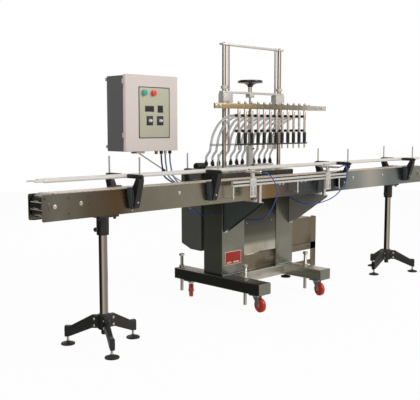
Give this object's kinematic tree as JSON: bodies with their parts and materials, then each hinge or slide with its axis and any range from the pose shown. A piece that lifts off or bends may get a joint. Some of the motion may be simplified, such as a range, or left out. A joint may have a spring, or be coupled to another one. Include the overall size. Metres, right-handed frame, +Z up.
{
  "type": "piston liquid filler",
  "caption": "Inline piston filler: a row of hanging nozzles on a lifting head over a slat-chain conveyor, with a castored stainless base, tripod stands and a control box.",
  "frame": {"origin": "on the floor under the middle of the conveyor's length, and midway between its foremost and rearmost parts", "axes": "+X along the conveyor, from the infeed end at the left to the outfeed end, +Y from the operator's side to the rear, +Z up"},
  "size_m": [4.044, 0.9477, 1.877],
  "materials": {
    "stainless_sheet": "brushed stainless sheet",
    "bright_steel": "ground and polished bar",
    "nozzle_steel": "turned and polished stainless",
    "dark_steel": "dark grey steel",
    "aluminium": "satin anodised",
    "zinc_plated": "bright zinc plating",
    "red_tyre": "red polyurethane",
    "black_plastic": "moulded black nylon",
    "slat_plastic": "pale acetal slats",
    "dark_motor": "dark grey paint",
    "box_beige": "light beige textured powder coat",
    "box_grey": "dark grey powder coat",
    "plate_red": "red enamel with a pale border",
    "button_green": "teal green moulded cap",
    "button_red": "orange red moulded cap",
    "knob_white": "white moulded knob",
    "clear_hose": "clear PVC hose",
    "blue_hose": "blue polyurethane air hose",
    "black_cable": "black cable sheath"
  },
  "bodies": {
    "root": {"air_hose_left": "blue_hose", "air_hose_right": "blue_hose", "air_hose_sensor": "blue_hose", "base_frame": "stainless_sheet", "cabinet": "stainless_sheet", "control_box_body": "box_grey", "control_cables": "black_cable", "conveyor_frame": "stainless_sheet", "cylinder_bank": "bright_steel", "front_rail": "aluminium", "gate_cylinder_left": "aluminium", "gate_cylinder_right": "aluminium", "gear_motor": "dark_motor", "guide_rail_front": "aluminium", "guide_rail_rear": "aluminium", "lift_cylinder": "aluminium", "lift_gantry": "bright_steel", "name_plate": "plate_red", "product_hoses": "clear_hose", "pump_housing": "stainless_sheet", "side_box": "stainless_sheet", "slat_chain": "slat_plastic", "tripod_left": "black_plastic", "tripod_right": "black_plastic", "valve_manifold": "black_plastic"},
    "filling_head": {"crosshead": "aluminium", "nozzle_bar": "stainless_sheet", "tip_rail": "black_plastic", "nozzle_01": "nozzle_steel", "nozzle_02": "nozzle_steel", "nozzle_03": "nozzle_steel", "nozzle_04": "nozzle_steel", "nozzle_05": "nozzle_steel", "nozzle_06": "nozzle_steel", "nozzle_07": "nozzle_steel", "nozzle_08": "nozzle_steel", "nozzle_09": "nozzle_steel", "nozzle_10": "nozzle_steel", "nozzle_11": "nozzle_steel", "nozzle_12": "nozzle_steel"},
    "handwheel": {"handwheel": "black_plastic"},
    "lift_rod": {"lift_rod": "bright_steel"},
    "gate_pin_left": {"gate_pin_left": "bright_steel"},
    "gate_pin_right": {"gate_pin_right": "bright_steel"},
    "pump_pistons": {"piston_crosshead": "nozzle_steel"},
    "drive_shaft": {"drive_shaft": "dark_steel"},
    "tail_shaft": {"tail_shaft": "dark_steel"},
    "control_box_door": {"control_box_door": "box_beige"},
    "start_button": {"start_button": "button_green"},
    "stop_button": {"stop_button": "button_red"},
    "speed_knob": {"speed_knob": "knob_white"},
    "volume_knob": {"volume_knob": "knob_white"},
    "caster_fork_1": {"caster_fork_1": "zinc_plated"},
    "caster_wheel_1": {"caster_wheel_1": "red_tyre"},
    "caster_fork_2": {"caster_fork_2": "zinc_plated"},
    "caster_wheel_2": {"caster_wheel_2": "red_tyre"},
    "caster_fork_3": {"caster_fork_3": "zinc_plated"},
    "caster_wheel_3": {"caster_wheel_3": "red_tyre"},
    "caster_fork_4": {"caster_fork_4": "zinc_plated"},
    "caster_wheel_4": {"caster_wheel_4": "red_tyre"}
  },
  "joints": [
    {"name": "head_lift", "type": "slide", "parent": "root", "child": "filling_head", "axis": [0, 0, 1], "range_m": [-0.08, 0.015], "deforming": ["product_hoses"]},
    {"name": "handwheel_turn", "type": "hinge", "parent": "filling_head", "child": "handwheel", "pos_m": [0.036, 0.085, 1.606], "axis": [0, 0, 1], "range_deg": [-2880, 2880]},
    {"name": "lift_rod_feed", "type": "slide", "parent": "filling_head", "child": "lift_rod", "axis": [0, 0, 1], "range_m": [-0.0401, 0.0401]},
    {"name": "gate_left_stroke", "type": "slide", "parent": "root", "child": "gate_pin_left", "axis": [0, 1, 0], "range_m": [0, 0.058], "stiffness_N_per_m": 150, "springref_m": -0.01},
    {"name": "gate_right_stroke", "type": "slide", "parent": "root", "child": "gate_pin_right", "axis": [0, 1, 0], "range_m": [0, 0.058], "stiffness_N_per_m": 150, "springref_m": -0.01},
    {"name": "piston_stroke", "type": "slide", "parent": "root", "child": "pump_pistons", "axis": [0, 0, 1], "range_m": [0, 0.12]},
    {"name": "drive_shaft_turn", "type": "hinge", "parent": "root", "child": "drive_shaft", "pos_m": [1.927, -0.2215, 0.852], "axis": [0, 1, 0], "continuous": true},
    {"name": "tail_shaft_turn", "type": "hinge", "parent": "root", "child": "tail_shaft", "pos_m": [-1.927, -0.2215, 0.852], "axis": [0, 1, 0], "continuous": true},
    {"name": "door_swing", "type": "hinge", "parent": "root", "child": "control_box_door", "pos_m": [-1.17, 0.085, 1.112], "axis": [0, 0, -1], "range_deg": [0, 120]},
    {"name": "start_press", "type": "slide", "parent": "control_box_door", "child": "start_button", "axis": [0, 1, 0], "range_m": [0, 0.004], "stiffness_N_per_m": 500},
    {"name": "stop_press", "type": "slide", "parent": "control_box_door", "child": "stop_button", "axis": [0, 1, 0], "range_m": [0, 0.004], "stiffness_N_per_m": 500},
    {"name": "speed_turn", "type": "hinge", "parent": "control_box_door", "child": "speed_knob", "pos_m": [-0.97, 0.0597, 1.311], "axis": [0, 1, 0], "range_deg": [-140, 140]},
    {"name": "volume_turn", "type": "hinge", "parent": "control_box_door", "child": "volume_knob", "pos_m": [-0.881, 0.0597, 1.311], "axis": [0, 1, 0], "range_deg": [-140, 140]},
    {"name": "caster_1_swivel", "type": "hinge", "parent": "root", "child": "caster_fork_1", "pos_m": [-0.346, -0.33, 0.1137], "axis": [0, 0, 1], "continuous": true},
    {"name": "caster_1_roll", "type": "hinge", "parent": "caster_fork_1", "child": "caster_wheel_1", "pos_m": [-0.35087, -0.36466, 0.05], "axis": [0.9903, -0.1392, 0], "continuous": true},
    {"name": "caster_2_swivel", "type": "hinge", "parent": "root", "child": "caster_fork_2", "pos_m": [0.348, -0.325, 0.1137], "axis": [0, 0, 1], "continuous": true},
    {"name": "caster_2_roll", "type": "hinge", "parent": "caster_fork_2", "child": "caster_wheel_2", "pos_m": [0.33894, -0.35881, 0.05], "axis": [0.9659, -0.2588, 0], "continuous": true},
    {"name": "caster_3_swivel", "type": "hinge", "parent": "root", "child": "caster_fork_3", "pos_m": [-0.346, 0.328, 0.1137], "axis": [0, 0, 1], "continuous": true},
    {"name": "caster_3_roll", "type": "hinge", "parent": "caster_fork_3", "child": "caster_wheel_3", "pos_m": [-0.37075, 0.30325, 0.05], "axis": [0.7071, -0.7071, 0], "continuous": true},
    {"name": "caster_4_swivel", "type": "hinge", "parent": "root", "child": "caster_fork_4", "pos_m": [0.348, 0.328, 0.1137], "axis": [0, 0, 1], "continuous": true},
    {"name": "caster_4_roll", "type": "hinge", "parent": "caster_fork_4", "child": "caster_wheel_4", "pos_m": [0.32792, 0.29933, 0.05], "axis": [0.8192, -0.5736, 0], "continuous": true}
  ],
  "couplings": [
    {"joint": "lift_rod_feed", "follows": "handwheel_turn", "m_per_rad": -0.000795},
    {"joint": "tail_shaft_turn", "follows": "drive_shaft_turn", "ratio": 1}
  ]
}
